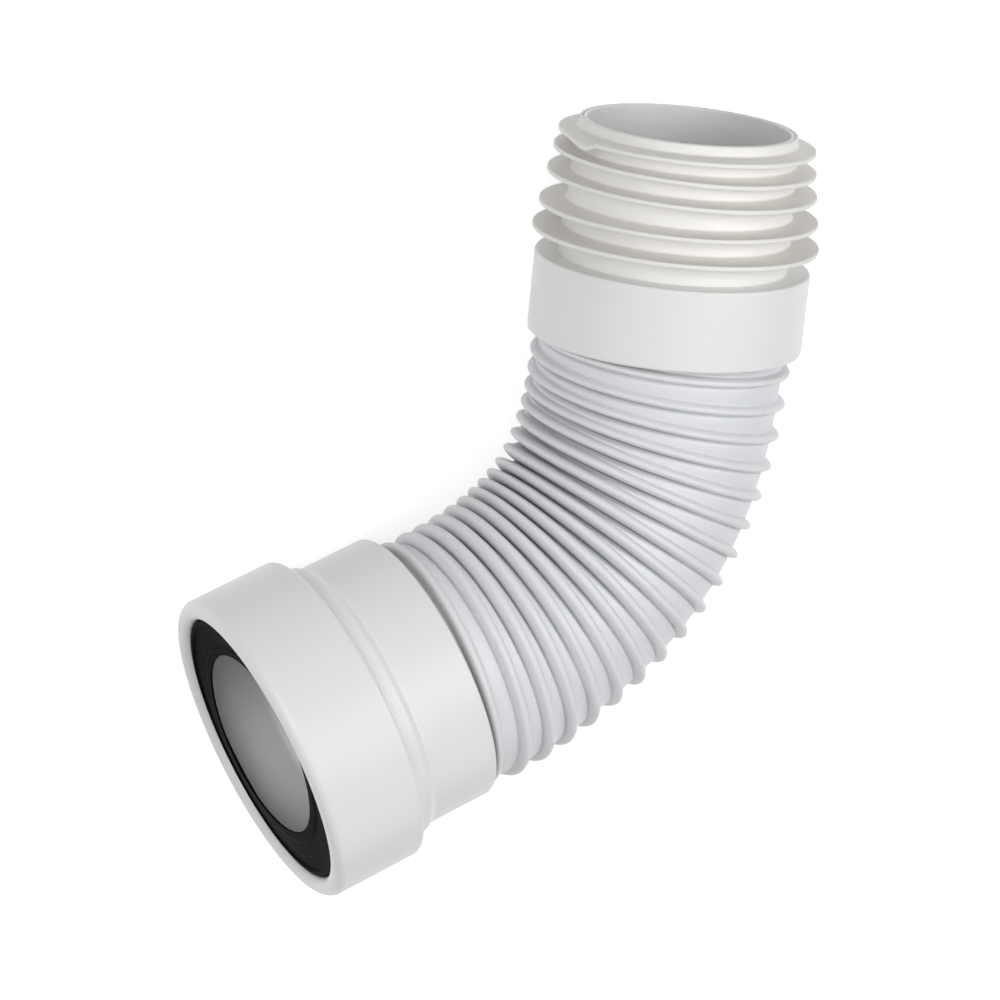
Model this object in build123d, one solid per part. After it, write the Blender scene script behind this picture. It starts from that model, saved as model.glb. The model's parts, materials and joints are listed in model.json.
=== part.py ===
from build123d import *
import os
from math import cos, pi, radians, sin

# Ribbed hose: plain film with one round bead wound along it, left-handed
film_r = 50.4
hose_wall = 1.5
bead_height = 2.6
bead_width = 7.4
bead_turn_length = 13.68
bead_phase = 0.31
bend_angle = 67.0
bend_length = 190.0
bead_tuck = 6.0
bead_run_out = 4.0

# Pan socket: hood over the pan's outlet, step ring behind it and collar over the hose
hood_length = 40.0
hood_wall = 3.0
hood_shoulder = 6.3
hood_back_bevel = 1.5
rim_width = 8.0
rim_depth = 6.0
rim_flat = 0.8
lip_bevel = 2.2
step_length = 8.5
step_height = 1.7
step_bevel = 0.8
web_wall = 3.0
waterway_lip = 0.9
socket_collar_length = 29.5
socket_collar_wall = 3.3
collar_bevel = 1.7
bead_clearance = 0.7

# Rubber seal held in the hood, open in the middle for the pan's outlet
seal_width = 17.5
seal_hole_depth = 5.0
seal_land = 4.0
seal_wall = 2.5
seal_nose_depth = 3.0
seal_nose_gap = 0.3
seal_lip_bevel = 1.2
seal_fit = 0.15
seal_body_length = 7.0
seal_stop = 1.5

# Outlet spigot: collar over the end of the bend, flat ledge and pipe
outlet_collar_length = 32.7
outlet_collar_wall = 2.0
outlet_overlap = 12.0
ledge_wall = 4.0
ledge_width = 13.4
ledge_bevel = 0.8
pipe_wall = 1.6

# Finned sleeve on the spigot pipe: gaps run down from its top to the first fin and from fin to fin
sleeve_fit = 0.15
sleeve_top_wall = 1.15
sleeve_foot_wall = 3.85
sleeve_foot_length = 10.6
fin_gaps = (4.9, 8.7, 9.3, 11.6, 9.9)
fin_top_reach = 7.8
fin_foot_reach = 12.0
fin_root_wall = 2.4
fin_edge_wall = 1.6
fin_droop = 0.8

# Fineness of the hose's sections, of its centre line and of the search for its rest
stations_per_turn = 5
section_points = 28
centre_steps = 200
rest_steps = 30

# Radii, from the hose outwards to the hood and inwards to the pipe
bead_r = film_r + bead_height
collar_bore_r = bead_r + bead_clearance
waterway_r = film_r - hose_wall - waterway_lip
socket_collar_r = collar_bore_r + socket_collar_wall
step_r = socket_collar_r + step_height
hood_r = step_r + hood_shoulder
mouth_r = hood_r - rim_width
rim_round = rim_width - lip_bevel - rim_flat
seal_hole_r = mouth_r - seal_width
outlet_collar_r = collar_bore_r + outlet_collar_wall
pipe_r = outlet_collar_r - ledge_width
sleeve_bore_r = pipe_r + sleeve_fit
sleeve_top_r = sleeve_bore_r + sleeve_top_wall
sleeve_foot_r = sleeve_bore_r + sleeve_foot_wall

# Lengths, from the socket's mouth along the hose to the top of the pipe
seal_back = rim_depth + seal_body_length
step_end = hood_length + step_length
socket_length = step_end + socket_collar_length
socket_seat = step_end + web_wall
outlet_seat = outlet_collar_length - ledge_wall
fin_depths = [sum(fin_gaps[: i + 1]) for i in range(len(fin_gaps))]
pipe_length = fin_depths[-1] + sleeve_foot_length
outlet_length = outlet_collar_length + pipe_length
outlet_start = bend_length - outlet_overlap
hose_start = socket_seat - socket_length
hose_end = outlet_start + outlet_seat
ribs_start = -bead_tuck
ribs_end = outlet_start + bead_tuck
up = Vector(0, 0, 1)


# Centre line of the hose: s runs from the start of the bend, negative inside the pan socket
def bend_share(s):
    return min(max(s / bend_length, 0.0), 1.0)


def heading(s):
    u = bend_share(s)
    return radians(bend_angle) * (3 * u**2 - 2 * u**3)


def curvature(s):
    u = bend_share(s)
    return radians(bend_angle) * 6 * u * (1 - u) / bend_length


def along(s):
    return Vector(cos(heading(s)), sin(heading(s)), 0)


def inward(s):
    return Vector(-sin(heading(s)), cos(heading(s)), 0)


def centre(s):
    bent = bend_share(s) * bend_length
    step = bent / centre_steps
    middle = Vector(socket_length, 0, 0) + along(s) * (s - bent)
    for i in range(centre_steps):
        middle += along((i + 0.5) * step) * step
    return middle


# Beads die away inside the collars, where the hose ends plain
def bead_fade(s):
    from_end = min(s - ribs_start, ribs_end - s)
    return min(max(from_end / bead_run_out, 0.0), 1.0)


# Wall of the hose: angle runs from the inside of the bend towards the upper side
def wall_radius(s, angle):
    turn = (s + bead_r * heading(s)) / bead_turn_length + angle / (2 * pi) - bead_phase
    bend = curvature(s) * bead_r
    local_pitch = bead_turn_length * (1 - bend * cos(angle)) / (1 + bend)
    from_crest = (turn - round(turn)) * local_pitch
    half_width = min(bead_width, local_pitch) / 2
    if abs(from_crest) > half_width:
        return film_r
    return film_r + bead_height * bead_fade(s) * cos(pi * from_crest / (2 * half_width)) ** 2


def hose_section(s):
    middle = centre(s)
    points = []
    for i in range(section_points + 1):
        angle = 2 * pi * i / section_points
        outward = inward(s) * cos(angle) + up * sin(angle)
        points.append(middle + outward * wall_radius(s, angle))
    half = section_points // 2
    return Wire([Edge.make_spline(points[: half + 1]), Edge.make_spline(points[half:])])


def bore_ring(s):
    return Wire.make_circle(film_r - hose_wall, Plane(origin=centre(s), x_dir=up, z_dir=along(s)))


# Stations keep an even spacing along the outside of the bend, where the bead's pitch is even
def hose_stations():
    stations = [ribs_start]
    while stations[-1] < ribs_end:
        s = stations[-1]
        stations.append(s + bead_turn_length / stations_per_turn / (1 + bead_r * curvature(s)))
    stretch = (ribs_end - ribs_start) / (stations[-1] - ribs_start)
    ribbed = [ribs_start + (s - ribs_start) * stretch for s in stations]
    return [hose_start] + ribbed + [hose_end]


def ribbed_hose():
    stations = hose_stations()
    sections = [hose_section(s) for s in stations]
    rings = [bore_ring(s) for s in [hose_start] + stations[1:-1:stations_per_turn] + [hose_end]]
    outside = Shell.make_loft(sections, ruled=True)
    bore = Shell.make_loft(rings)
    ends = [Face(sections[i], [rings[i]]) for i in (0, -1)]
    return Solid(Shell(outside.faces() + bore.faces() + ends))


# Turned pieces are drawn as half sections, radius across and length up
def half_section(points, rounds=(), bevels=()):
    section = make_face(Plane.XZ * Polyline(*points, close=True))
    for (r, z), radius in rounds:
        section = fillet(section.vertices().sort_by_distance((r, 0, z))[0], radius)
    for (r, z), length in bevels:
        section = chamfer(section.vertices().sort_by_distance((r, 0, z))[0], length)
    return revolve(section, Axis.Z)


def pan_socket():
    chamber_r = hood_r - hood_wall - seal_stop
    points = [
        (mouth_r, 0),
        (hood_r, 0),
        (hood_r, hood_length),
        (step_r, hood_length),
        (step_r, step_end),
        (socket_collar_r, step_end),
        (socket_collar_r, socket_length),
        (collar_bore_r, socket_length),
        (collar_bore_r, socket_seat),
        (waterway_r, socket_seat),
        (waterway_r, step_end),
        (step_r - hood_wall, step_end),
        (step_r - hood_wall, hood_length - hood_wall),
        (chamber_r, hood_length - hood_wall),
        (chamber_r, seal_back),
        (hood_r - hood_wall, seal_back),
        (hood_r - hood_wall, rim_depth),
        (mouth_r, rim_depth),
    ]
    bevels = [
        ((mouth_r, 0), lip_bevel),
        ((hood_r, hood_length), hood_back_bevel),
        ((step_r, step_end), step_bevel),
        ((socket_collar_r, socket_length), collar_bevel),
    ]
    return half_section(points, rounds=[((hood_r, 0), rim_round)], bevels=bevels)


def pan_seal():
    outer_r = hood_r - hood_wall - seal_fit
    inner_r = outer_r - seal_wall
    nose_r = mouth_r - seal_nose_gap
    body_front = rim_depth + seal_wall
    land_back = seal_hole_depth + seal_land
    points = [
        (nose_r, seal_nose_depth),
        (seal_hole_r, seal_hole_depth),
        (seal_hole_r, land_back),
        (seal_hole_r + seal_wall, land_back),
        (seal_hole_r + 2 * seal_wall, seal_hole_depth + seal_wall),
        (nose_r - seal_wall, body_front),
        (inner_r, body_front),
        (inner_r, seal_back),
        (outer_r, seal_back),
        (outer_r, rim_depth),
        (nose_r, rim_depth),
    ]
    return half_section(points, bevels=[((seal_hole_r, seal_hole_depth), seal_lip_bevel)])


def outlet_spigot():
    points = [
        (collar_bore_r, 0),
        (outlet_collar_r, 0),
        (outlet_collar_r, outlet_collar_length),
        (pipe_r, outlet_collar_length),
        (pipe_r, outlet_length),
        (pipe_r - pipe_wall, outlet_length),
        (pipe_r - pipe_wall, outlet_seat),
        (collar_bore_r, outlet_seat),
    ]
    bevels = [
        ((outlet_collar_r, 0), collar_bevel),
        ((outlet_collar_r, outlet_collar_length), ledge_bevel),
    ]
    return half_section(points, bevels=bevels)


# Sleeve wall and fin reach both grow evenly from the top of the pipe to its foot
def sleeve_r(depth):
    return sleeve_top_r + (sleeve_foot_r - sleeve_top_r) * depth / pipe_length


def fin_r(depth):
    share = (depth - fin_depths[0]) / (fin_depths[-1] - fin_depths[0])
    return sleeve_r(depth) + fin_top_reach + (fin_foot_reach - fin_top_reach) * share


def outlet_fin_seal():
    points = [(sleeve_bore_r, outlet_length), (sleeve_top_r, outlet_length)]
    for depth in fin_depths:
        root_top = depth - fin_root_wall / 2
        root_foot = depth + fin_root_wall / 2
        edge_top = depth + fin_droop - fin_edge_wall / 2
        edge_foot = depth + fin_droop + fin_edge_wall / 2
        points += [
            (sleeve_r(root_top), outlet_length - root_top),
            (fin_r(depth), outlet_length - edge_top),
            (fin_r(depth), outlet_length - edge_foot),
            (sleeve_r(root_foot), outlet_length - root_foot),
        ]
    points += [(sleeve_foot_r, outlet_collar_length), (sleeve_bore_r, outlet_collar_length)]
    return half_section(points)


# Assembly in the plane of the bend, the socket's mouth at the origin
outlet_axis = along(bend_length)
outlet_foot = centre(bend_length) - outlet_axis * outlet_overlap
socket_place = Plane(origin=(0, 0, 0), x_dir=(0, 1, 0), z_dir=(1, 0, 0))
outlet_place = Plane(origin=outlet_foot, x_dir=up, z_dir=outlet_axis)
pieces = {
    "pan_socket": socket_place * pan_socket(),
    "pan_seal": socket_place * pan_seal(),
    "ribbed_hose": ribbed_hose(),
    "outlet_spigot": outlet_place * outlet_spigot(),
    "outlet_fin_seal": outlet_place * outlet_fin_seal(),
}


# Rest: the floor touches the hood's back edge, the outlet collar's lower edge and the outside of the bend
def lowest_point(ring, floor_normal):
    middle, axis, radius = ring
    across = floor_normal - axis * floor_normal.dot(axis)
    return middle - across.normalized() * radius


def floor_normal(rings):
    normal = up
    for _ in range(rest_steps):
        hood_foot, collar_foot, bend_foot = [lowest_point(ring, normal) for ring in rings]
        normal = (bend_foot - hood_foot).cross(collar_foot - hood_foot).normalized()
    return normal


# The part rolls over its two ends until the first ring of the bend meets the floor
def rest_normal():
    hood_ring = (Vector(hood_length - hood_back_bevel, 0, 0), along(0), hood_r)
    collar_ring = (outlet_foot + outlet_axis * collar_bevel, outlet_axis, outlet_collar_r)
    bend_rings = [(centre(s), along(s), bead_r) for s in hose_stations() if 0 < s < outlet_start]
    normals = [floor_normal([hood_ring, collar_ring, bend_ring]) for bend_ring in bend_rings]
    return max(normals, key=lambda normal: normal.Z)


normal = rest_normal()
floor = Plane(origin=(0, 0, 0), x_dir=along(0) - normal * normal.dot(along(0)), z_dir=normal)
laid = {name: floor.location.inverse() * piece for name, piece in pieces.items()}
box = Compound(list(laid.values())).bounding_box()
foot_of_box = Location((-box.center().X, -box.center().Y, -box.min.Z))

os.makedirs("parts", exist_ok=True)
for name, piece in laid.items():
    piece = foot_of_box * piece
    piece.label = name
    export_step(piece, f"parts/{name}.step")
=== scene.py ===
# %% [markdown]
# # Flexible toilet pan connector
# This connector joins a toilet pan to a soil pipe. It has a white socket with a black rubber seal for the
# pan, a ribbed hose that can be bent by hand, and an outlet with soft fins that seal inside the soil
# pipe.
#
# The lesson dresses a finished CAD model of it. The CAD model gives every place and size, and Blender
# adds the rounded edges, the soft folds of the hose, the rubber, the finishes, the light and the camera.

# %% Load the CAD model
import json
import math

import bmesh
import bpy
from mathutils import Matrix, Vector


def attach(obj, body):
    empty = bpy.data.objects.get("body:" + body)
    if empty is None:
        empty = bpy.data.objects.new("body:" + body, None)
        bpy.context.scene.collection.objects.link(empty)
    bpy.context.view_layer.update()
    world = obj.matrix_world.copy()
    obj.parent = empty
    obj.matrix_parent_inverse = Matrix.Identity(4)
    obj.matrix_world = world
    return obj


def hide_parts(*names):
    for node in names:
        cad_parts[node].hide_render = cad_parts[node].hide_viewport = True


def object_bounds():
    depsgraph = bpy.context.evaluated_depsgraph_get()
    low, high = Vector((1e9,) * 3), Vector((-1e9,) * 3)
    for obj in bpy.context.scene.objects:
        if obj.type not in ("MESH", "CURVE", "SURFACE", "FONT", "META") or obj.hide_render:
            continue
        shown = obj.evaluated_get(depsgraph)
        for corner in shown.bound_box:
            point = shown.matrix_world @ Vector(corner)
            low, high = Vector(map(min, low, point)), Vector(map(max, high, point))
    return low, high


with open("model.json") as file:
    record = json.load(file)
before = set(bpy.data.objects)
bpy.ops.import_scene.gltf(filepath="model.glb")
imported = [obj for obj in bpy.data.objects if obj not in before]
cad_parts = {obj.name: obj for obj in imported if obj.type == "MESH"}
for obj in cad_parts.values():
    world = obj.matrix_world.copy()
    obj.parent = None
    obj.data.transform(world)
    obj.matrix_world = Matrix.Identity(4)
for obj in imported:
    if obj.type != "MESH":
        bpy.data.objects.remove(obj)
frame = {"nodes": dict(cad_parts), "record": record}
cad_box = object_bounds()
mounts = {mount["name"]: mount for mount in frame["record"]["mounts"]}
print("CAD nodes:", sorted(frame["nodes"]))

# %% [markdown]
# ## The frame of the bend
# The connector lies on the floor on three points, so nothing on it is square to the world axes. The
# pieces are easier to draw in the plane of the bend: X runs into the socket from its mouth, Y points to
# the side that the hose bends to, and Z stands square to both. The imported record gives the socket's bore
# and the widest fin, with their axes, and those two are enough to find that frame. Lengths in it are
# millimetres, and one matrix takes a finished mesh to the model's place in metres.

# %% Frame of the bend
MM = 0.001
seal_land_middle = 7.6
widest_fin_height = 42.5
socket_axis = -Vector(mounts["pan_bore"]["axis"]).normalized()
outlet_axis_row = Vector(mounts["soil_pipe_fin"]["axis"]).normalized()
bend_normal = socket_axis.cross(outlet_axis_row).normalized()
bend_side = bend_normal.cross(socket_axis)
mouth = Vector(mounts["pan_bore"]["pos_m"]) - socket_axis * seal_land_middle * MM
bend_turn = Matrix((socket_axis, bend_side, bend_normal)).transposed()
to_row = Matrix.Translation(mouth) @ bend_turn.to_4x4() @ Matrix.Scale(MM, 4)

outlet_axis = bend_turn.inverted() @ outlet_axis_row
outlet_side = Vector((-outlet_axis.y, outlet_axis.x, 0))
fin_mount = to_row.inverted() @ Vector(mounts["soil_pipe_fin"]["pos_m"])
outlet_foot = fin_mount - outlet_axis * widest_fin_height
up = Vector((0, 0, 1))


def turning_place(foot, across, axis):
    """Place of a turned piece: its section's radius goes along across, its length along axis."""
    place = Matrix((across, axis.cross(across), axis)).transposed().to_4x4()
    return Matrix.Translation(foot) @ place


socket_place = turning_place(Vector((0, 0, 0)), Vector((0, 1, 0)), Vector((1, 0, 0)))
outlet_place = turning_place(outlet_foot, outlet_side, outlet_axis)
bend_degrees = math.degrees(math.atan2(outlet_axis.y, outlet_axis.x))
print(f"bend {bend_degrees:.1f} degrees, outlet foot at {[round(c, 1) for c in outlet_foot]} mm")

# %% [markdown]
# ## Camera
# The camera stands where the photographer stood, a little over a metre away and high above the connector,
# looking down on it. A long lens, with a view only 16 degrees wide, keeps the two round ends close to
# true ellipses. The eye and the image's right and up directions are given in the frame of the bend, so
# they stay right whichever way the model is laid.

# %% Camera
view_angle = math.radians(16)
eye = Vector((-327.5, 683.6, 1194.3))
view_direction = Vector((0.321, -0.4425, -0.837)).normalized()
image_right = Vector((0.848, -0.259, 0.462))
image_right = (image_right - view_direction * image_right.dot(view_direction)).normalized()
image_up = image_right.cross(view_direction)

lens = bpy.data.cameras.new("photo_camera")
lens.sensor_fit = "HORIZONTAL"
lens.angle = view_angle
camera = bpy.data.objects.new("photo_camera", lens)
bpy.context.collection.objects.link(camera)
camera_turn = Matrix((image_right, image_up, -view_direction)).transposed()
camera.matrix_world = Matrix.Translation(to_row @ eye) @ (bend_turn @ camera_turn).to_4x4()
bpy.context.scene.camera = camera
print("camera at", [round(c, 3) for c in camera.location], "m")

# %% [markdown]
# ## Floor and light
# The photograph is a studio picture on plain white with very soft light from several sides. Two large
# softboxes stand to the right and the left of the connector and a weaker one hangs overhead. Two more,
# close to the floor, reach under the outlet and into the socket's mouth. The floor is a plain pale sheet
# that throws light back up. Rays that go straight from the camera to it also get some even white, which
# keeps the background white and leaves a faint shadow where the connector lies.

# %% Floor and light
bpy.context.scene.view_settings.view_transform = "Standard"


def new_material(name):
    """A new material, its node tree and the tree's shader."""
    material = bpy.data.materials.new(name)
    material.use_nodes = True
    tree = material.node_tree
    return material, tree, tree.nodes["Principled BSDF"]


def add_node(tree, kind, **settings):
    node = tree.nodes.new(kind)
    for name, value in settings.items():
        setattr(node, name, value)
    return node


def seen_ray(tree):
    """1 for rays from the camera, mirrors and glass, 0 for the rays that light other things."""
    path = add_node(tree, "ShaderNodeLightPath")
    mirror = add_node(tree, "ShaderNodeMath", operation="MAXIMUM")
    either = add_node(tree, "ShaderNodeMath", operation="MAXIMUM")
    tree.links.new(path.outputs["Is Glossy Ray"], mirror.inputs[0])
    tree.links.new(path.outputs["Is Transmission Ray"], mirror.inputs[1])
    tree.links.new(path.outputs["Is Camera Ray"], either.inputs[0])
    tree.links.new(mirror.outputs[0], either.inputs[1])
    return either.outputs[0]


floor_half = 4.0
floor_white = 0.6
room_light = 0.02
floor_mesh = bpy.data.meshes.new("floor")
corners = [(x * floor_half, y * floor_half, 0) for x, y in ((-1, -1), (1, -1), (1, 1), (-1, 1))]
floor_mesh.from_pydata(corners, [], [(0, 1, 2, 3)])
floor = bpy.data.objects.new("floor", floor_mesh)
bpy.context.collection.objects.link(floor)
floor_paper, tree, paper = new_material("floor_paper")
paper.inputs["Base Color"].default_value = (0.8, 0.8, 0.8, 1)
paper.inputs["Roughness"].default_value = 0.9
paper.inputs["Specular IOR Level"].default_value = 0.1
paper.inputs["Emission Color"].default_value = (1, 1, 1, 1)
seen = seen_ray(tree)
glow = add_node(tree, "ShaderNodeMath", operation="MULTIPLY")
glow.inputs[1].default_value = floor_white
tree.links.new(seen, glow.inputs[0])
tree.links.new(glow.outputs[0], paper.inputs["Emission Strength"])
floor_mesh.materials.append(floor_paper)

world = bpy.data.worlds.new("pale_room")
world.use_nodes = True
bpy.context.scene.world = world
tree = world.node_tree
room = tree.nodes["Background"]
room.inputs["Color"].default_value = (1, 1, 1, 1)
room_level = add_node(tree, "ShaderNodeMapRange")
room_level.inputs["To Min"].default_value = room_light
room_level.inputs["To Max"].default_value = 1.0
tree.links.new(seen_ray(tree), room_level.inputs["Value"])
tree.links.new(room_level.outputs["Result"], room.inputs["Strength"])


def softbox(name, azimuth, elevation, power):
    """A large square lamp, in a direction seen from the middle of the connector, in degrees."""
    distance, side = 1.3, 0.9
    lamp = bpy.data.lights.new(name, "AREA")
    lamp.shape = "SQUARE"
    lamp.size = side
    lamp.energy = power
    box = bpy.data.objects.new(name, lamp)
    bpy.context.collection.objects.link(box)
    low, high = cad_box
    flat, steep = math.radians(azimuth), math.radians(elevation)
    way = Vector((math.cos(steep) * math.cos(flat), math.cos(steep) * math.sin(flat), math.sin(steep)))
    box.location = (low + high) / 2 + way * distance
    box.rotation_euler = way.to_track_quat("Z", "Y").to_euler()
    print(name, "at", [round(c, 2) for c in box.location], "m")


softbox("right_softbox", 0, 50, 8.8)
softbox("left_softbox", 135, 50, 7.3)
softbox("overhead_softbox", 0, 90, 3.2)
softbox("low_front_softbox", 270, 20, 2.6)
softbox("low_mouth_softbox", 180, 20, 2.3)

# %% [markdown]
# ## Finishes
# Four finishes cover the connector: a satin white moulded plastic for the socket and outlet, a cooler and
# softer white for the hose, a warm white sealing plastic for the fins, and black rubber for the seal. A
# moulded surface is never one flat colour. Each finish gets a slow drift of tone over several
# centimetres, fine unevenness in its gloss, and a very small relief, all from noise on the object's own
# coordinates, so they stay put when the part is turned. Numbers stored on the points of the hose and the
# fins add a tint where the colour changes with the shape: the bead is a little paler than the film. The
# other tints are painted shade: the hose is darkened inside the socket's collar, the tightest folds get a
# dark line, and the faces of the fins get a faint warm shade between their root and edge.

# %% Finish maker
DRIFT_SCALE, DRIFT_DETAIL, FINE_DETAIL = 22, 3, 4
NOISE_LOW, NOISE_HIGH = 0.3, 0.7


def tint_by(tree, shader, label, low, high):
    """Multiply the finish's colour by a tint that goes from low to high with a number stored on the mesh."""
    number = add_node(tree, "ShaderNodeAttribute", attribute_name=label)
    tint = add_node(tree, "ShaderNodeMix", data_type="RGBA")
    tint.inputs["A"].default_value = (*low, 1)
    tint.inputs["B"].default_value = (*high, 1)
    tree.links.new(number.outputs["Fac"], tint.inputs["Factor"])
    both = add_node(tree, "ShaderNodeMix", data_type="RGBA", blend_type="MULTIPLY")
    both.inputs["Factor"].default_value = 1.0
    before = shader.inputs["Base Color"].links[0].from_socket
    tree.links.new(before, both.inputs["A"])
    tree.links.new(tint.outputs["Result"], both.inputs["B"])
    tree.links.new(both.outputs["Result"], shader.inputs["Base Color"])


def moulded_finish(name, light, dark, gloss, relief, grain, ior, tints=()):
    """A moulded plastic or rubber: tone drifts between two colours, gloss and relief vary finely.

    gloss is the (lowest, highest) roughness, relief a bump height and grain its size, both in millimetres.
    Each of the tints is the name of a number stored on the mesh and the colours for 0 and 1.
    """
    material, tree, shader = new_material(name)
    shader.inputs["IOR"].default_value = ior
    place = add_node(tree, "ShaderNodeTexCoord")
    drift = add_node(tree, "ShaderNodeTexNoise")
    drift.inputs["Scale"].default_value = DRIFT_SCALE
    drift.inputs["Detail"].default_value = DRIFT_DETAIL
    fine = add_node(tree, "ShaderNodeTexNoise")
    fine.inputs["Scale"].default_value = 1 / (grain * MM)
    fine.inputs["Detail"].default_value = FINE_DETAIL
    tone = add_node(tree, "ShaderNodeMix", data_type="RGBA")
    tone.inputs["A"].default_value = (*dark, 1)
    tone.inputs["B"].default_value = (*light, 1)
    tree.links.new(place.outputs["Object"], drift.inputs["Vector"])
    tree.links.new(place.outputs["Object"], fine.inputs["Vector"])
    tree.links.new(drift.outputs["Fac"], tone.inputs["Factor"])
    tree.links.new(tone.outputs["Result"], shader.inputs["Base Color"])

    rough = add_node(tree, "ShaderNodeMapRange")
    rough.inputs["From Min"].default_value = NOISE_LOW
    rough.inputs["From Max"].default_value = NOISE_HIGH
    rough.inputs["To Min"].default_value = gloss[0]
    rough.inputs["To Max"].default_value = gloss[1]
    tree.links.new(fine.outputs["Fac"], rough.inputs["Value"])
    tree.links.new(rough.outputs["Result"], shader.inputs["Roughness"])

    bump = add_node(tree, "ShaderNodeBump")
    bump.inputs["Strength"].default_value = 1.0
    bump.inputs["Distance"].default_value = relief * MM
    tree.links.new(fine.outputs["Fac"], bump.inputs["Height"])
    tree.links.new(bump.outputs["Normal"], shader.inputs["Normal"])
    for label, low, high in tints:
        tint_by(tree, shader, label, low, high)
    return material


# %% Finishes
PLAIN = (1, 1, 1)
socket_white = moulded_finish(
    "socket_white",
    light=(0.83, 0.84, 0.835),
    dark=(0.80, 0.81, 0.805),
    gloss=(0.30, 0.38),
    relief=0.012,
    grain=1.5,
    ior=1.49,
)
hose_white = moulded_finish(
    "hose_white",
    light=(0.80, 0.805, 0.82),
    dark=(0.775, 0.78, 0.795),
    gloss=(0.36, 0.46),
    relief=0.02,
    grain=1.8,
    ior=1.47,
    tints=(
        ("bead", (0.94, 0.945, 0.96), PLAIN),
        # painted shade on the hose inside the socket's collar
        ("painted_collar_shade", PLAIN, (0.55, 0.52, 0.45)),
        # painted shade: the tightest folds go nearly black
        ("fold", PLAIN, (0.08, 0.08, 0.085)),
    ),
)
fin_white = moulded_finish(
    "fin_white",
    light=(0.855, 0.85, 0.832),
    dark=(0.835, 0.828, 0.808),
    gloss=(0.45, 0.55),
    relief=0.015,
    grain=1.6,
    ior=1.47,
    # painted shade: a faint warm shade on the fin faces between root and edge
    tints=(("painted_fin_shade", (1, 0.995, 0.985), (0.985, 0.955, 0.935)),),
)
seal_black = moulded_finish(
    "seal_black",
    light=(0.005, 0.0049, 0.0047),
    dark=(0.0035, 0.0034, 0.0033),
    gloss=(0.4, 0.55),
    relief=0.02,
    grain=1.2,
    ior=1.045,
)
print("finishes:", [m.name for m in (socket_white, hose_white, fin_white, seal_black)])

# %% [markdown]
# ## Turned pieces
# The socket, the seal and the outlet are round mouldings, each drawn as half a section and turned once
# round its axis. In the CAD model their edges are small bevels. Real mouldings have soft rounds there,
# which catch the light, so each corner of a section here carries its own rounding radius. Holding loops
# close to the ends of every long run keep the flat walls flat when the surface is shaded smooth.

# %% Turning tools
SEGMENTS = 192
ARC_STEPS = 10
HOLD = 0.5
WELD = 1e-4


def rounded_corner(before, corner, after, radius):
    """Points of an arc that rounds one corner of a section."""
    to_before = (before - corner).normalized()
    to_after = (after - corner).normalized()
    half = to_before.angle(to_after) / 2
    reach = radius / math.tan(half)
    middle = corner + (to_before + to_after).normalized() * radius / math.sin(half)
    start = corner + to_before * reach - middle
    end = corner + to_after * reach - middle
    sweep = start.angle_signed(end)
    spin = [sweep * i / ARC_STEPS for i in range(ARC_STEPS + 1)]
    return [middle + Matrix.Rotation(-angle, 2) @ start for angle in spin]


def section_outline(corners):
    """Closed outline of a half section, from (radius, length, rounding) corners."""
    spots = [Vector((r, z)) for r, z, _ in corners]
    outline = []
    for i, (r, z, rounding) in enumerate(corners):
        before, after = spots[i - 1], spots[(i + 1) % len(spots)]
        outline += rounded_corner(before, spots[i], after, rounding) if rounding else [spots[i]]
    held = []
    for i, point in enumerate(outline):
        run = outline[(i + 1) % len(outline)] - point
        held.append(point)
        if run.length > 4 * HOLD:
            held += [point + run.normalized() * HOLD, point + run - run.normalized() * HOLD]
    return held


def turn_section(name, outline, place, shape=None):
    """Turn a closed outline into a solid of revolution; shape, if given, moves each point of it."""
    bm = bmesh.new()
    ring = [bm.verts.new((p.x, 0, p.y)) for p in outline]
    edges = [bm.edges.new((ring[i - 1], ring[i])) for i in range(len(ring))]
    bmesh.ops.spin(
        bm,
        geom=ring + edges,
        axis=(0, 0, 1),
        cent=(0, 0, 0),
        angle=2 * math.pi,
        steps=SEGMENTS,
        use_merge=True,
    )
    bmesh.ops.remove_doubles(bm, verts=bm.verts, dist=WELD)
    if shape:
        for vert in bm.verts:
            vert.co = shape(vert.co)
    bmesh.ops.transform(bm, matrix=to_row @ place, verts=bm.verts)
    bmesh.ops.recalc_face_normals(bm, faces=bm.faces)
    mesh = bpy.data.meshes.new(name)
    bm.to_mesh(mesh)
    bm.free()
    return mesh


def dress(mesh, node, finish, sharp_from=50):
    """Make a mesh the visible piece of a CAD node. Edges that turn by sharp_from degrees stay sharp."""
    mesh.shade_smooth()
    mesh.set_sharp_from_angle(angle=math.radians(sharp_from))
    mesh.materials.clear()
    mesh.materials.append(finish)
    piece = bpy.data.objects.new(node + "_dressed", mesh)
    bpy.context.collection.objects.link(piece)
    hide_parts(node)
    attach(piece, "root")
    mesh.calc_loop_triangles()
    print(piece.name, "has", len(mesh.loop_triangles), "triangles")


print("turned pieces have", SEGMENTS, "segments")

# %% [markdown]
# ## Pan socket
# The socket is one moulding: a wide hood that goes over the pan's outlet, a narrow step ring behind it
# and a collar that the hose is fixed in. Its mouth has a thick, very round rim. Inside, the hood narrows
# to the waterway in one soft slope, which is what shows as even grey through the hole of the seal.

# %% Pan socket
mouth_r, hood_r, step_r, collar_r = 57.0, 65.0, 58.9, 57.0
hood_length, step_end, socket_length = 40.0, 48.5, 78.0
collar_bore_r, collar_mouth_r, waterway_r, socket_seat = 53.7, 55.1, 48.0, 51.5
collar_mouth_depth, collar_taper = 9.0, 2.0
hood_bore_r, hood_bore_end = 60.5, 28.0
slope_r, slope_depth = 55.7, 37.0
groove_r, groove_front, groove_back = 62.0, 5.0, 6.1
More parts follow.
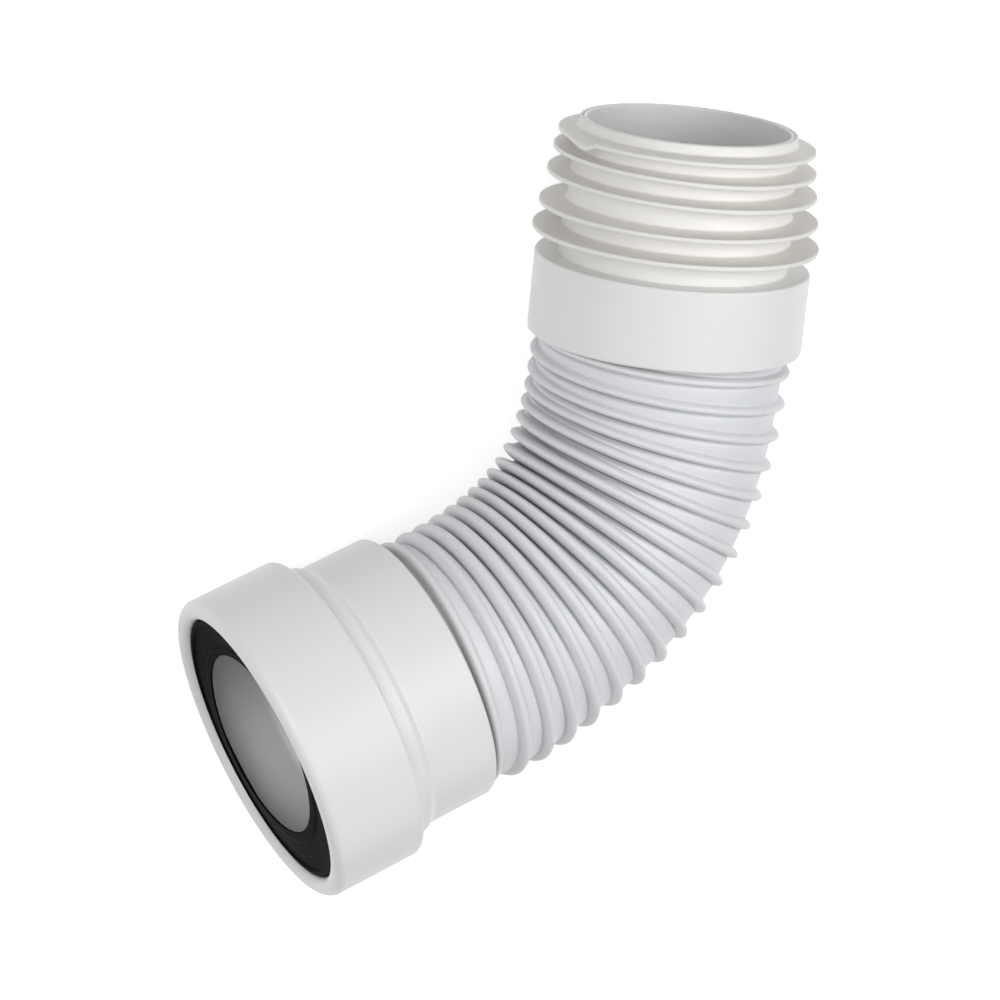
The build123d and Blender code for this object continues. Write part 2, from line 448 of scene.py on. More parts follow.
# corners of the section: radius, depth from the mouth, rounding
socket_section = [
    (mouth_r, 0, 3.6),
    (hood_r, 0, 4.2),
    (hood_r, hood_length, 2.0),
    (step_r, hood_length, 0.6),
    (step_r, step_end - 2.2, 2.5),
    (collar_r, step_end + 0.6, 1.0),
    (collar_r, socket_length, 1.5),
    (collar_mouth_r, socket_length, 0.7),
    (collar_mouth_r, socket_length - collar_mouth_depth, 0.5),
    (collar_bore_r, socket_length - collar_mouth_depth - collar_taper, 0.5),
    (collar_bore_r, socket_seat, 0),
    (waterway_r, socket_seat, 0.6),
    (waterway_r, step_end - 2, 3),
    (slope_r, slope_depth, 6),
    (hood_bore_r, hood_bore_end, 6),
    (hood_bore_r, groove_back, 0),
    (groove_r, groove_back, 0),
    (groove_r, groove_front, 0),
    (mouth_r, groove_front, 0.6),
]
socket_mesh = turn_section("pan_socket_dressed", section_outline(socket_section), socket_place)
dress(socket_mesh, "pan_socket", socket_white)

# %% [markdown]
# ## Pan seal
# The seal is a ring of black rubber held behind the rim. A round nose lies just inside the rim, then a
# shallow groove, and then the skin runs in to a thin soft lip at the hole, which stretches over the pan's
# spigot. Soft rubber never sits quite true: the hole leans by four to five degrees and lies about two
# millimetres off the axis, so the points of the skin are moved, more towards the hole.

# %% Pan seal
seal_hole_r, seal_nose_r, seal_outer_r = 38.3, 56.7, 61.85
lean_side, lean_up = 0.06, 0.05
off_axis = Vector((1.0, -2.1, 0))
# corners of the section: radius, depth from the mouth, rounding
seal_section = [
    (seal_nose_r, 2.6, 0.9),
    (seal_nose_r - 2.4, 2.5, 0.8),
    (seal_nose_r - 3.3, 3.5, 0.7),
    (seal_hole_r + 5.2, 3.9, 3.0),
    (seal_hole_r + 3.6, 3.5, 0.8),
    (seal_hole_r, 3.6, 0.4),
    (seal_hole_r, 4.4, 0.35),
    (seal_hole_r + 4.0, 4.6, 2.0),
    (seal_nose_r - 3.0, 4.4, 0.6),
    (seal_nose_r - 1.4, 4.6, 0.4),
    (seal_nose_r - 1.2, 5.9, 0.3),
    (seal_outer_r, 5.9, 0.3),
    (seal_outer_r, 5.1, 0.3),
    (seal_nose_r, 5.1, 0.3),
]


def leaning_skin(spot):
    """The skin of the seal leans, from nothing at its nose to the full amount at its hole."""
    r = math.hypot(spot.x, spot.y)
    share = min(max((seal_nose_r - r) / (seal_nose_r - seal_hole_r), 0), 1)
    return spot + (off_axis + up * (lean_side * spot.x + lean_up * spot.y)) * share


seal_mesh = turn_section("pan_seal_dressed", section_outline(seal_section), socket_place, leaning_skin)
dress(seal_mesh, "pan_seal", seal_black)

# %% [markdown]
# ## Outlet spigot
# The outlet is a second white moulding. Its collar closes over the end of the hose, a flat ledge turns in
# on top of it, and a plain pipe stands on the ledge. Only the pipe's rim and its bore show above the soft
# sleeve. The pipe of this one leans by not quite a degree.

# %% Outlet spigot
outlet_collar_r, pipe_r, pipe_bore_r = 55.7, 42.3, 40.7
outlet_collar_length, outlet_length, outlet_seat = 32.7, 87.7, 28.7
# corners of the section: radius, height over the collar's open end, rounding
outlet_section = [
    (collar_bore_r, 0, 0.7),
    (outlet_collar_r, 0, 1.1),
    (outlet_collar_r, outlet_collar_length, 1.0),
    (pipe_r, outlet_collar_length, 0.4),
    (pipe_r, outlet_length, 0.5),
    (pipe_bore_r, outlet_length, 0.6),
    (pipe_bore_r, outlet_seat, 1.0),
    (collar_bore_r, outlet_seat, 0),
]
lean_angle, lean_at_top = math.radians(152), 0.8
lean_way = Vector((math.cos(lean_angle), math.sin(lean_angle), 0))


def leaning_pipe(spot):
    """The pipe leans a little to one side, from nothing at the ledge to the full amount at its rim."""
    share = max(spot.z - outlet_collar_length, 0) / (outlet_length - outlet_collar_length)
    return spot + lean_way * lean_at_top * share


outlet_outline = section_outline(outlet_section)
outlet_mesh = turn_section("outlet_spigot_dressed", outlet_outline, outlet_place, leaning_pipe)
dress(outlet_mesh, "outlet_spigot", socket_white)

# %% [markdown]
# ## Rules in a node tree
# The hose and the fins follow rules, so Geometry Nodes make them. A rule such as a sine or a sum is one
# Math node each, which soon grows into a long list of nodes. A small class keeps that readable:
# arithmetic on a Rule adds the Math node and its links, and gives back the next Rule.

# %% Rules


class Rule:
    """A number for every point of a mesh, made by the nodes of a tree."""

    def __init__(self, tree, socket):
        self.tree, self.socket = tree, socket

    def math(self, operation, *others):
        node = add_node(self.tree, "ShaderNodeMath", operation=operation)
        for slot, value in zip(node.inputs, (self, *others)):
            if isinstance(value, Rule):
                self.tree.links.new(value.socket, slot)
            else:
                slot.default_value = value
        return Rule(self.tree, node.outputs[0])

    def __add__(self, other):
        return self.math("ADD", other)

    def __sub__(self, other):
        return self.math("SUBTRACT", other)

    def __mul__(self, other):
        return self.math("MULTIPLY", other)

    def __truediv__(self, other):
        return self.math("DIVIDE", other)

    def __pow__(self, other):
        return self.math("POWER", other)

    def __neg__(self):
        return self.math("MULTIPLY", -1)

    __radd__, __rmul__ = __add__, __mul__

    def __rsub__(self, other):
        return -self + other

    def clamp(self, low=0.0, high=1.0):
        return self.math("MAXIMUM", low).math("MINIMUM", high)

    def smooth(self):
        """From 0 to 1 with a soft start and end, for a Rule that goes evenly from 0 to 1."""
        return self * self * (3 - self * 2)


print("a Rule turns sums into Math nodes")

# %% Tree tools
SEAM = 0.002


def new_tree(name, sizes):
    """A geometry tree with named number inputs, and a Rule for each of them; sizes is {name: value}."""
    tree = bpy.data.node_groups.new(name, "GeometryNodeTree")
    tree.interface.new_socket("Geometry", in_out="INPUT", socket_type="NodeSocketGeometry")
    tree.interface.new_socket("Geometry", in_out="OUTPUT", socket_type="NodeSocketGeometry")
    for label in sizes:
        tree.interface.new_socket(label, in_out="INPUT", socket_type="NodeSocketFloat")
    entry = add_node(tree, "NodeGroupInput")
    add_node(tree, "NodeGroupOutput")
    rules = {label: Rule(tree, entry.outputs[label]) for label in sizes}
    rules["Geometry"] = entry.outputs["Geometry"]
    return tree, rules


def vector_of(tree, x, y, z):
    node = add_node(tree, "ShaderNodeCombineXYZ")
    for slot, value in zip(node.inputs, (x, y, z)):
        if isinstance(value, Rule):
            tree.links.new(value.socket, slot)
        else:
            slot.default_value = value
    return node.outputs[0]


def vector_sum(tree, first, second):
    node = add_node(tree, "ShaderNodeVectorMath", operation="ADD")
    tree.links.new(first, node.inputs[0])
    tree.links.new(second, node.inputs[1])
    return node.outputs[0]


def rolled_grid(tree, rows, columns):
    """A flat grid to be rolled up, with a Rule for each point's row number and its angle round the roll."""
    grid = add_node(tree, "GeometryNodeMeshGrid")
    grid.inputs["Vertices X"].default_value = rows
    grid.inputs["Vertices Y"].default_value = columns + 1
    index = Rule(tree, add_node(tree, "GeometryNodeInputIndex").outputs[0])
    row = ((index + 0.5) / (columns + 1)).math("FLOOR")
    angle = (index - row * (columns + 1)) * (2 * math.pi / columns)
    return grid.outputs["Mesh"], row, angle


def set_position(tree, geometry, position):
    node = add_node(tree, "GeometryNodeSetPosition")
    tree.links.new(geometry, node.inputs["Geometry"])
    tree.links.new(position, node.inputs["Position"])
    return node.outputs["Geometry"]


def store_number(tree, geometry, label, rule):
    node = add_node(tree, "GeometryNodeStoreNamedAttribute", data_type="FLOAT", domain="POINT")
    node.inputs["Name"].default_value = label
    tree.links.new(geometry, node.inputs["Geometry"])
    tree.links.new(rule.socket, node.inputs["Value"])
    return node.outputs["Geometry"]


def close_tree(tree, geometry, material):
    """Weld the seams, turn the faces outwards, realize, set the finish and send the result out."""
    weld = add_node(tree, "GeometryNodeMergeByDistance")
    weld.inputs["Distance"].default_value = SEAM
    flip = add_node(tree, "GeometryNodeFlipFaces")
    solid = add_node(tree, "GeometryNodeRealizeInstances")
    finish = add_node(tree, "GeometryNodeSetMaterial")
    finish.inputs["Material"].default_value = material
    end = next(node for node in tree.nodes if node.type == "GROUP_OUTPUT")
    tree.links.new(geometry, weld.inputs["Geometry"])
    tree.links.new(weld.outputs["Geometry"], flip.inputs["Mesh"])
    tree.links.new(flip.outputs["Mesh"], solid.inputs["Geometry"])
    tree.links.new(solid.outputs["Geometry"], finish.inputs["Geometry"])
    tree.links.new(finish.outputs["Geometry"], end.inputs["Geometry"])


def grow_mesh(name, tree, sizes, start=None, place=Matrix.Identity(4)):
    """Run a tree with its named sizes on a start mesh: a plain mesh, in the model's place."""
    seed = bpy.data.objects.new(name + "_seed", start or bpy.data.meshes.new(name + "_seed"))
    bpy.context.collection.objects.link(seed)
    modifier = seed.modifiers.new(tree.name, "NODES")
    modifier.node_group = tree
    for socket in tree.interface.items_tree:
        if socket.item_type == "SOCKET" and socket.in_out == "INPUT" and socket.name in sizes:
            modifier[socket.identifier] = float(sizes[socket.name])
    depsgraph = bpy.context.evaluated_depsgraph_get()
    mesh = bpy.data.meshes.new_from_object(seed.evaluated_get(depsgraph))
    bpy.data.objects.remove(seed)
    mesh.name = name
    mesh.transform(to_row @ place)
    return mesh


print("seams closer than", SEAM, "mm are welded")

# %% [markdown]
# ## Ribbed hose
# The hose is a thin film wound on one stiff round bead, which runs along it as a long left-handed screw.
# On the outside of the bend the film is pulled flat between the turns of the bead. Towards the inside
# there is less and less room for it: it puffs up into a pleat, then folds in behind the next turn and
# vanishes, and the turns close up into a row of round rolls with dark folds between them.
#
# One rule can tell all of that. The local pitch, the distance between two turns at a point of the wall,
# follows from the bend. The bead keeps most of its width, and what is left of the pitch is the room for
# the film.
#
# The centre line turns slowly at first, fastest in the middle and slowly again at the end, so it has no
# simple formula. The tree adds it up in small steps along a line of points, makes a curve of them, and
# every point of the wall reads its middle from that curve. A hose bent by hand is never perfect, so two
# drawn curves let it sway a little to one side and let its turns drift on the low inner side of the bend.
# The first turns are pushed out of the socket's collar by part of a turn, and next to it the wall swells
# on the outside of the bend.

# %% Hose sizes
hose_sizes = {
    "Film radius": 49.8,
    "Bore radius": 48.2,
    "Bead height": 3.1,
    "Bead half width": 2.6,
    "Coil radius": 53.0,
    "Turn length": 13.68,
    "Phase": 0.30,
    "Bend angle": math.radians(67),
    "Bend length": 190.0,
    "Start": socket_seat - socket_length,
    "End": 206.7,
    "Ribs start": -6.0,
    "Ribs end": 184.0,
    "Run out": 4.0,
    "First x": socket_length,
    "Crease": 0.35,
    "Squeezed fold": 4.2,
    "Unevenness": 0.3,
    "First turn push": 0.26,
    "Collar shade": 3.0,
    "Outer swell": 2.3,
}
BEAD_ROWS, FILM_ROWS = 12, 20
ROWS_PER_TURN = BEAD_ROWS + FILM_ROWS
HOSE_COLUMNS = 116
BORE_ROWS = 40
CENTRE_POINTS = 600
FIRST_TURN, LAST_TURN = -3, 21
hose_length = hose_sizes["End"] - hose_sizes["Start"]
hose_rows = int((LAST_TURN - FIRST_TURN) * ROWS_PER_TURN)
print(f"hose {hose_length:.0f} mm long, {hose_rows} rows of {HOSE_COLUMNS} points")

# %% Hose centre line
hose_nodes, size = new_tree("Ribbed hose", hose_sizes)


def bend_share(s):
    return (s / size["Bend length"]).clamp()


def heading(s):
    u = bend_share(s)
    return size["Bend angle"] * u * u * (3 - u * 2)


def curvature(s):
    u = bend_share(s)
    return size["Bend angle"] * 6 * u * (1 - u) / size["Bend length"]


def drawn_curve(share, points, low, high):
    """A curve drawn over the bend, from (share of the bend, value) points between low and high."""
    node = add_node(hose_nodes, "ShaderNodeFloatCurve")
    drawn = node.mapping.curves[0]
    drawn.points[0].location = (points[0][0], (points[0][1] - low) / (high - low))
    drawn.points[1].location = (points[-1][0], (points[-1][1] - low) / (high - low))
    for x, y in points[1:-1]:
        drawn.points.new(x, (y - low) / (high - low))
    node.mapping.update()
    hose_nodes.links.new(share.socket, node.inputs["Value"])
    return Rule(hose_nodes, node.outputs["Value"]) * (high - low) + low


def sway(s):
    """How far the hose lies towards the inside of the bend, in millimetres."""
    spots = [
        (0, -1.4), (0.16, -1.8), (0.32, -1.9), (0.5, -1.9),
        (0.63, -0.9), (0.74, -0.2), (0.84, 0.4), (1, 0.6),
    ]
    return drawn_curve(bend_share(s), spots, -2, 2)


def inner_drift(s):
    """How far the turns have run ahead on the low inner side of the bend, in turns."""
    spots = [
        (0, 0), (0.1, 0.03), (0.18, 0.18), (0.31, 0.2), (0.41, 0.38), (0.46, 0.42), (0.51, 0.39),
        (0.56, 0.2), (0.63, -0.04), (0.705, -0.26), (0.78, -0.33), (0.87, -0.23), (1, 0),
    ]
    return drawn_curve(bend_share(s), spots, -0.5, 0.5)


def centre_line(tree):
    """The curve of the hose's middle: steps along the heading, added up from the first point."""
    step_length = hose_length / (CENTRE_POINTS - 1)
    line = add_node(tree, "GeometryNodeMeshLine")
    line.inputs["Count"].default_value = CENTRE_POINTS
    index = Rule(tree, add_node(tree, "GeometryNodeInputIndex").outputs[0])
    way = heading(size["Start"] + (index - 0.5) * step_length)
    moving = index.math("GREATER_THAN", 0.5) * step_length
    step = vector_of(tree, way.math("COSINE") * moving, way.math("SINE") * moving, 0)
    total = add_node(tree, "GeometryNodeAccumulateField", data_type="FLOAT_VECTOR")
    tree.links.new(step, total.inputs["Value"])
    first = vector_of(tree, size["First x"] + size["Start"], 0, 0)
    placed = set_position(tree, line.outputs["Mesh"], vector_sum(tree, first, total.outputs["Leading"]))
    curve = add_node(tree, "GeometryNodeMeshToCurve")
    tree.links.new(placed, curve.inputs["Mesh"])
    return curve.outputs["Curve"]


def wall_point(tree, line, s, angle, radius):
    """Point of the wall: out from the middle, at an angle from the bend's inside to its upper side."""
    middle = add_node(tree, "GeometryNodeSampleCurve", mode="LENGTH")
    tree.links.new(line, middle.inputs["Curves"])
    tree.links.new((s - size["Start"]).socket, middle.inputs["Length"])
    way = heading(s)
    side = angle.math("COSINE") * radius + sway(s)
    rise = angle.math("SINE") * radius
    outward = vector_of(tree, -way.math("SINE") * side, way.math("COSINE") * side, rise)
    return vector_sum(tree, middle.outputs["Position"], outward)


line = centre_line(hose_nodes)
print("centre line of", CENTRE_POINTS, "points")

# %% [markdown]
# ### The rule of the ribs
# Rows of the grid follow the screw line of the bead: some cross the bead and the rest cross the film
# after it, so all edges and folds run along rows and stay clean. That needs the place s along the hose
# where a row passes a given angle. The turn number grows with s in a way that can't be turned round by
# formula, and a few steps of Newton's method find it.

# %% Hose turns
NEWTON_STEPS = 5
FIRST_GUESS = 0.75
PUSH_END, PUSH_RUN, INNER_PUSH_SHORTER = 46, 34.0, 16
LOW_INNER_ANGLE, DRIFT_PEAK = math.radians(-75), 1.2
BEAD_THINNING, BEAD_SHARE_OF_PITCH = 0.6, 0.435


def inside_share(angle):
    """About 1 on the low inner side, where the turns drift most, and 0 on the upper and outer sides."""
    share = ((angle - LOW_INNER_ANGLE).math("COSINE") + 1) / 2
    return share * share * DRIFT_PEAK


def push_run(s, inside):
    """1 inside the socket's collar, where the turns are pushed out, down to 0 some way past it."""
    return ((PUSH_END - inside * INNER_PUSH_SHORTER - s) / PUSH_RUN).clamp()


def turn_at(s, angle, inside):
    """Turn number of the bead: an even screw, with its drift and the first turns pushed out."""
    length = s + size["Coil radius"] * heading(s)
    even = length / size["Turn length"] + angle / (2 * math.pi) - size["Phase"]
    return even + inner_drift(s) * inside - push_run(s, inside).smooth() * size["First turn push"]


def turn_rate(s, inside):
    """Turns per millimetre of the centre line."""
    even = (1 + size["Coil radius"] * curvature(s)) / size["Turn length"]
    step = 1.5
    drift = (inner_drift(s + step) - inner_drift(s - step)) * inside / (2 * step)
    run = push_run(s, inside)
    return even + drift + run * (1 - run) * size["First turn push"] * 6 / PUSH_RUN


def local_pitch(s, angle, rate):
    """Distance between two turns of the bead at a point of the wall."""
    return (1 - curvature(s) * size["Coil radius"] * angle.math("COSINE")) / rate


def bead_half_width(s, pitch):
    """Half the width of the bead, which thins towards the outlet and gives way where the turns close up."""
    width = size["Bead half width"] - bend_share(s) * BEAD_THINNING
    return width.math("MINIMUM", pitch * BEAD_SHARE_OF_PITCH)


def place_of_row(turn, across, share, angle):
    """Place along the hose of a row that crosses a turn's bead or its film, kept between the two ends."""
    inside = inside_share(angle)
    s = (turn - angle / (2 * math.pi) + size["Phase"]) * size["Turn length"] * FIRST_GUESS
    for _ in range(NEWTON_STEPS):
        rate = turn_rate(s, inside)
        pitch = local_pitch(s, angle, rate)
        half_width = bead_half_width(s, pitch)
        from_crest = half_width * across + (pitch - half_width * 2) * share
        s = s - (turn_at(s, angle, inside) - turn - from_crest / pitch) / rate
    return s.math("MAXIMUM", size["Start"]).math("MINIMUM", size["End"])


def squeeze_of(pitch):
    """0 where the film is pulled flat, 1 where there is no room for it."""
    tightest = 5.0
    return (1 - (pitch - tightest) / (size["Turn length"] - tightest)).clamp()


print("rows find their place in", NEWTON_STEPS, "steps")

# %% [markdown]
# ### Film, bead and folds
# Between two turns the film lifts beside the bead where it is squeezed, puffs up into a pleat in the
# later part of the bend, and ends in a fold before the next turn. The bead is a rounded ridge on top of
# that. The tightest folds also get a number that the finish reads as a dark line of painted shade.

# %% Hose film and bead
LINE_WIDTH, LINE_DEPTH = 0.4, 0.2
FOLD_WIDTH, FOLD_SPREAD = 0.55, 1.6
LIFT_FIRST, LIFT_LOSS = 3.2, 3.6
PUFF_RISE, PUFF_FALL, FILM_SAG = 2.2, 2.4, 0.25
PLEAT_GAIN, PLEAT_FROM = 2, 0.6
# settings of the painted shade line in the tightest folds
FOLD_SHADE_FROM, FOLD_SHADE_GAIN, FOLD_SHADE_OFF_BEAD = 0.4, 2.5, 5
BEAD_ROUNDNESS = 0.6
UNEVEN_AROUND, UNEVEN_ALONG = 1.5, 0.05
SWELL_START, SWELL_END, SWELL_FADE = 8, 60, 40


def dip(distance, width):
    """A soft narrow dip, 1 at its middle."""
    share = distance / width
    return (-share * share).math("EXPONENT")


def unevenness(s, angle):
    """Slow noise over the hose, about -1 to 1, that makes its folds a little uneven."""
    noise = add_node(hose_nodes, "ShaderNodeTexNoise", noise_dimensions="3D")
    noise.inputs["Scale"].default_value = 1.0
    noise.inputs["Detail"].default_value = 1.0
    side, rise = angle.math("COSINE") * UNEVEN_AROUND, angle.math("SINE") * UNEVEN_AROUND
    spot = vector_of(hose_nodes, side, rise, s * UNEVEN_ALONG)
    hose_nodes.links.new(spot, noise.inputs["Vector"])
    return (Rule(hose_nodes, noise.outputs[0]) - 0.5) * 2


def rib_height(s, angle, across, share):
    """Height of the wall over the film's radius, how much of it is bead, and its fold's painted shade."""
    pitch = local_pitch(s, angle, turn_rate(s, inside_share(angle)))
    squeeze = squeeze_of(pitch)
    uneven = unevenness(s, angle) * size["Unevenness"]
    room = pitch - bead_half_width(s, pitch) * 2
    fold = (size["Crease"] + size["Squeezed fold"] * squeeze * squeeze.math("SQRT")) * (1 + uneven)
    fold_width = FOLD_WIDTH + squeeze * squeeze * squeeze * FOLD_SPREAD
    lift = (squeeze * (LIFT_FIRST - bend_share(s) * LIFT_LOSS) - FILM_SAG) * room.clamp()
    pleated = (bend_share(s) * PLEAT_GAIN - PLEAT_FROM).clamp()
    puff = (squeeze * PUFF_RISE - squeeze * squeeze * PUFF_FALL) * pleated - FILM_SAG

    share = share + across.math("LESS_THAN", 0.0)
    rise = lift * (1 - share) * (1 - share) + puff * (share * math.pi).math("SINE")
    film = rise - LINE_DEPTH * dip(share * room, LINE_WIDTH) - fold * dip((1 - share) * room, fold_width)
    bead = (1 - across * across).math("MAXIMUM", 0.0) ** BEAD_ROUNDNESS
    # painted shade: a dark line deep in the tightest folds, kept off the bead
    tight = ((squeeze - FOLD_SHADE_FROM) * FOLD_SHADE_GAIN).clamp()
    dark = tight * dip((1 - share) * room, LINE_WIDTH) * (1 - bead) ** FOLD_SHADE_OFF_BEAD
    return film + (size["Bead height"] - film) * bead, bead, dark


def outer_swell(s, angle):
    """How far the wall swells out past the socket's collar, on the outside of the bend."""
    run = (s / SWELL_START).math("MINIMUM", (SWELL_END - s) / SWELL_FADE).clamp()
    return run.smooth() * (-angle.math("COSINE")).clamp() * size["Outer swell"]


print("folds deepen by up to", hose_sizes["Squeezed fold"], "mm where the film is squeezed")

# %% Hose wall
COLLAR_SHADE_RUN = 2

grid, row, angle = rolled_grid(hose_nodes, hose_rows, HOSE_COLUMNS)
turn = (row / ROWS_PER_TURN).math("FLOOR")
step = row - turn * ROWS_PER_TURN
turn = turn + FIRST_TURN
across = ((step * (2 / BEAD_ROWS) - 1).clamp(-1, 1) * (math.pi / 2)).math("SINE")
share = (1 - (((step - BEAD_ROWS) / FILM_ROWS).clamp() * math.pi).math("COSINE")) / 2
s = place_of_row(turn, across, share, angle)
height, bead, dark = rib_height(s, angle, across, share)
fade = ((s - size["Ribs start"]).math("MINIMUM", size["Ribs end"] - s) / size["Run out"]).clamp()
outside = store_number(hose_nodes, grid, "bead", bead * fade)
# painted shade: the hose darkens where it runs inside the socket's collar
painted_collar_shade = ((size["Collar shade"] - s) / COLLAR_SHADE_RUN).clamp()
outside = store_number(hose_nodes, outside, "painted_collar_shade", painted_collar_shade)
# painted shade: the fold number darkens the finish deep in the tightest folds
outside = store_number(hose_nodes, outside, "fold", dark * fade)
radius = size["Film radius"] + height * fade + outer_swell(s, angle)
outside = set_position(hose_nodes, outside, wall_point(hose_nodes, line, s, angle, radius))
print("outside of", ROWS_PER_TURN, "rows a turn")

# %% [markdown]
# ### Bore and hose
# The bore is a plain tube, tighter where the folds are deep, and its first and last rows close the wall
# at both ends.

# %% Hose bore
BORE_TIGHTENING = 5.4

grid, row, angle = rolled_grid(hose_nodes, BORE_ROWS + 2, HOSE_COLUMNS)
back = 1 - ((row - 1) / (BORE_ROWS - 1)).clamp()
s = size["Start"] + back * hose_length
at_end = (row.math("LESS_THAN", 0.5)).math("MAXIMUM", row.math("GREATER_THAN", BORE_ROWS + 0.5))
squeezed = squeeze_of(local_pitch(s, angle, turn_rate(s, inside_share(angle))))
bore_r = size["Bore radius"] - squeezed * squeezed.math("SQRT") * BORE_TIGHTENING
radius = bore_r + at_end * (size["Film radius"] - bore_r)
bore = set_position(hose_nodes, grid, wall_point(hose_nodes, line, s, angle, radius))
wall = add_node(hose_nodes, "GeometryNodeJoinGeometry")
hose_nodes.links.new(bore, wall.inputs[0])
hose_nodes.links.new(outside, wall.inputs[0])
close_tree(hose_nodes, wall.outputs[0], hose_white)
hose_mesh = grow_mesh("ribbed_hose_dressed", hose_nodes, hose_sizes)
dress(hose_mesh, "ribbed_hose", hose_white, sharp_from=170)

# %% [markdown]
# ## Finned sleeve
# The sleeve is a soft moulding pushed over the outlet's pipe. Five thin fins stand out from it, wider
# towards the foot, and bend back when the outlet goes into a soil pipe. The half section is drawn by a
# loop over the fins, and a node tree turns it. Each point of the section says which fin it is on and how
# far out it is, so the tree can also give every fin its own slight wave and tilt, and the top fin the
# small dent that storage has left in it.

# %% Fin section
sleeve_bore_r, sleeve_top_r, sleeve_foot_r = 42.45, 43.6, 46.3
pipe_length = outlet_length - outlet_collar_length
fin_depths = (5.1, 13.0, 22.3, 34.1, 44.4)
fin_top_reach, fin_foot_reach = 7.8, 12.0
fin_root_wall, fin_edge_wall, fin_droop = 2.4, 1.9, 0.8
fin_top_fillet, fin_edge_round, fin_under_fillet = 1.0, 0.6, 0.8
fin_tilts = (0.4, 1.3, 1.1, -0.1, 0.0)


def sleeve_r(depth):
    return sleeve_top_r + (sleeve_foot_r - sleeve_top_r) * depth / pipe_length


def fin_edge_r(depth):
    share = (depth - fin_depths[0]) / (fin_depths[-1] - fin_depths[0])
    return sleeve_r(depth) + fin_top_reach + (fin_foot_reach - fin_top_reach) * share


fin_corners = [(sleeve_bore_r, outlet_length, 0.2), (sleeve_top_r, outlet_length, 0.35)]
for depth in fin_depths:
    root, edge = fin_root_wall / 2, fin_edge_wall / 2
    tip = depth + fin_droop
    fin_corners += [
        (sleeve_r(depth - root), outlet_length - depth + root, fin_top_fillet),
        (fin_edge_r(depth), outlet_length - tip + edge, fin_edge_round),
        (fin_edge_r(depth), outlet_length - tip - edge, fin_edge_round),
        (sleeve_r(depth + root), outlet_length - depth - root, fin_under_fillet),
    ]
fin_corners += [(sleeve_foot_r, outlet_collar_length, 0), (sleeve_bore_r, outlet_collar_length, 0)]
fin_outline = section_outline(fin_corners)
print(len(fin_outline), "points in the section of the sleeve")

# %% Fin points
fin_sizes = {
    "Wave": 0.25,
    "Lean": lean_at_top,
    "Lean angle": lean_angle,
    "Dent depth": 2.6,
    "Dent angle": 0.15,
    "Dent run in": 0.28,
    "Dent run out": 0.12,
}


def outline_mesh(outline):
    """The section as points that know their fin's number, its tilt and their reach.

    The reach is 0 at the root of the fin and 1 at its edge.
    """
    mesh = bpy.data.meshes.new("fin_section")
    mesh.from_pydata([(p.x, 0, p.y) for p in outline], [], [])
    reach = mesh.attributes.new("reach", "FLOAT", "POINT")
    number = mesh.attributes.new("fin", "FLOAT", "POINT")
    tilt = mesh.attributes.new("tilt", "FLOAT", "POINT")
    for i, point in enumerate(outline):
        depth = outlet_length - point.y
        nearest = min(range(len(fin_depths)), key=lambda k: abs(fin_depths[k] + fin_droop / 2 - depth))
        span = fin_edge_r(fin_depths[nearest]) - sleeve_r(depth)
        reach.data[i].value = min(max((point.x - sleeve_r(depth)) / span, 0), 1)
        number.data[i].value = nearest
        tilt.data[i].value = fin_tilts[nearest]
    return mesh


fin_nodes, size = new_tree("Finned sleeve", fin_sizes)
point_count = len(fin_outline)
grid, row, angle = rolled_grid(fin_nodes, point_count + 1, SEGMENTS)
point_number = row - (row.math("GREATER_THAN", point_count - 0.5)) * point_count


def of_section(label, kind):
    """A value of the section's point that this row of the grid stands for."""
    sample = add_node(fin_nodes, "GeometryNodeSampleIndex", data_type=kind)
    fin_nodes.links.new(size["Geometry"], sample.inputs["Geometry"])
    if label == "position":
        source = add_node(fin_nodes, "GeometryNodeInputPosition")
    else:
        source = add_node(fin_nodes, "GeometryNodeInputNamedAttribute", data_type="FLOAT")
        source.inputs["Name"].default_value = label
    fin_nodes.links.new(source.outputs[0], sample.inputs["Value"])
    fin_nodes.links.new(point_number.socket, sample.inputs["Index"])
    return sample.outputs["Value"]


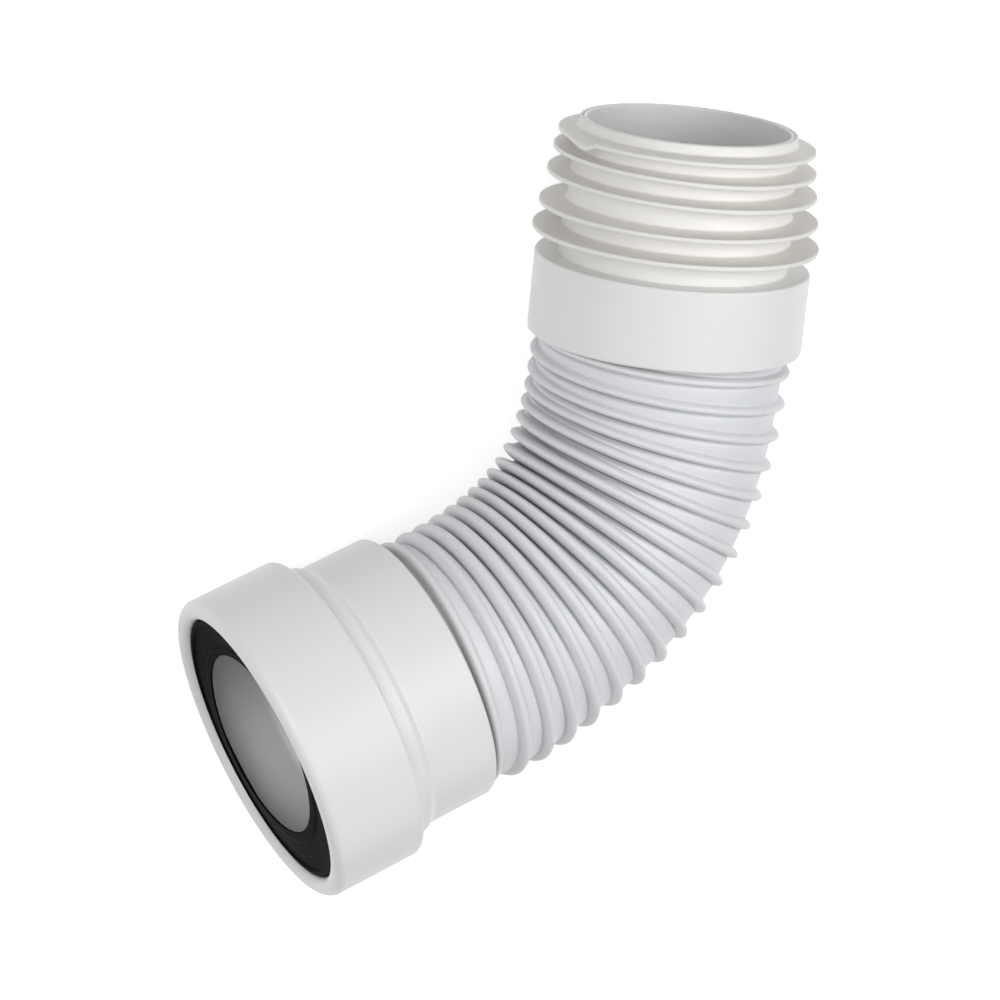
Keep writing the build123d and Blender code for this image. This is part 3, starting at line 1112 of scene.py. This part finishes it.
section_spot = add_node(fin_nodes, "ShaderNodeSeparateXYZ")
fin_nodes.links.new(of_section("position", "FLOAT_VECTOR"), section_spot.inputs[0])
radius = Rule(fin_nodes, section_spot.outputs["X"])
height = Rule(fin_nodes, section_spot.outputs["Z"])
reach = Rule(fin_nodes, of_section("reach", "FLOAT"))
fin_number = Rule(fin_nodes, of_section("fin", "FLOAT"))
tilt = Rule(fin_nodes, of_section("tilt", "FLOAT"))
print(point_count + 1, "rows of", SEGMENTS, "points for the sleeve")

# %% Fin tree
RIPPLE_AROUND, RIPPLE_PER_FIN = 1.2, 3.7

noise = add_node(fin_nodes, "ShaderNodeTexNoise", noise_dimensions="3D")
noise.inputs["Scale"].default_value = 1.0
noise.inputs["Detail"].default_value = 0.0
side, rise = angle.math("COSINE") * RIPPLE_AROUND, angle.math("SINE") * RIPPLE_AROUND
ripple = vector_of(fin_nodes, side, rise, fin_number * RIPPLE_PER_FIN)
fin_nodes.links.new(ripple, noise.inputs["Vector"])
wave = (Rule(fin_nodes, noise.outputs[0]) - 0.5) * 2 * size["Wave"] * reach

past_dent = (angle - size["Dent angle"] + math.pi).math("FLOORED_MODULO", 2 * math.pi) - math.pi
dent = (past_dent / size["Dent run in"] + 1).math("MINIMUM", 1 - past_dent / size["Dent run out"]).clamp()
dent = dent * fin_number.math("LESS_THAN", 0.5) * reach * reach * size["Dent depth"]
lean = size["Lean"] * (height - outlet_collar_length) / pipe_length
tilted = tilt * reach * (angle - size["Lean angle"]).math("COSINE")
x = radius * angle.math("COSINE") + lean * size["Lean angle"].math("COSINE")
y = radius * angle.math("SINE") + lean * size["Lean angle"].math("SINE")
spot = vector_of(fin_nodes, x, y, height + wave - dent - tilted)
# painted shade: faint and warm, strongest halfway between a fin's root and its edge
turned = store_number(fin_nodes, grid, "painted_fin_shade", reach * (1 - reach) * 4)
close_tree(fin_nodes, set_position(fin_nodes, turned, spot), fin_white)
fin_start = outline_mesh(fin_outline)
fin_mesh = grow_mesh("outlet_fin_seal_dressed", fin_nodes, fin_sizes, fin_start, outlet_place)
dress(fin_mesh, "outlet_fin_seal", fin_white)
